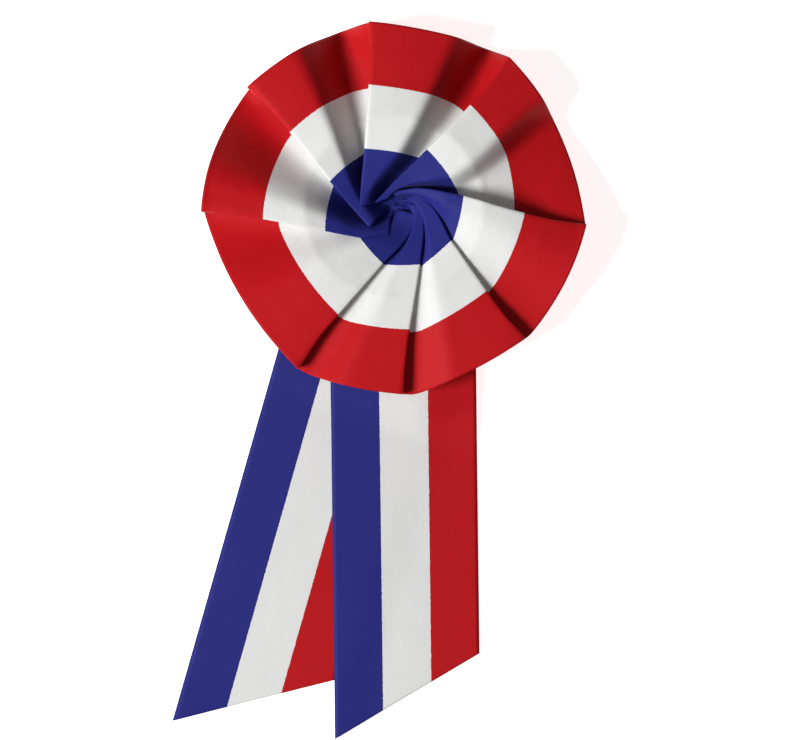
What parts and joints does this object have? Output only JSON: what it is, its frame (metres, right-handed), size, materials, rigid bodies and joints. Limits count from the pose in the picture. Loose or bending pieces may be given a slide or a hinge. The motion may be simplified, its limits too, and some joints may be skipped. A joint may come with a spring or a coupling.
{
  "type": "ribbon cockade",
  "caption": "Round cockade pleated from one wide striped ribbon, with slant-cut ribbon tails below and a bar pin on the back.",
  "frame": {"origin": "on the rosette's axis, at the surface that the cockade lies on", "axes": "+Z out of the rosette's face, up from the surface; the tails run towards -Y; +X to the right as the face is seen"},
  "size_m": [0.1134, 0.1964, 0.0182],
  "materials": {
    "rosette_cloth": "satin ribbon in three equal stripes: red at the rim, white, blue at the eye",
    "left_tail_cloth": "satin ribbon in three equal stripes: blue, white, red from the left",
    "front_tail_cloth": "satin ribbon in three equal stripes: blue, white, red from the left",
    "pin_metal": "plain nickel-plated"
  },
  "bodies": {
    "root": {"rosette_ribbon": "rosette_cloth", "tail_left": "left_tail_cloth", "tail_front": "front_tail_cloth", "brooch_pin": "pin_metal"}
  },
  "joints": []
}
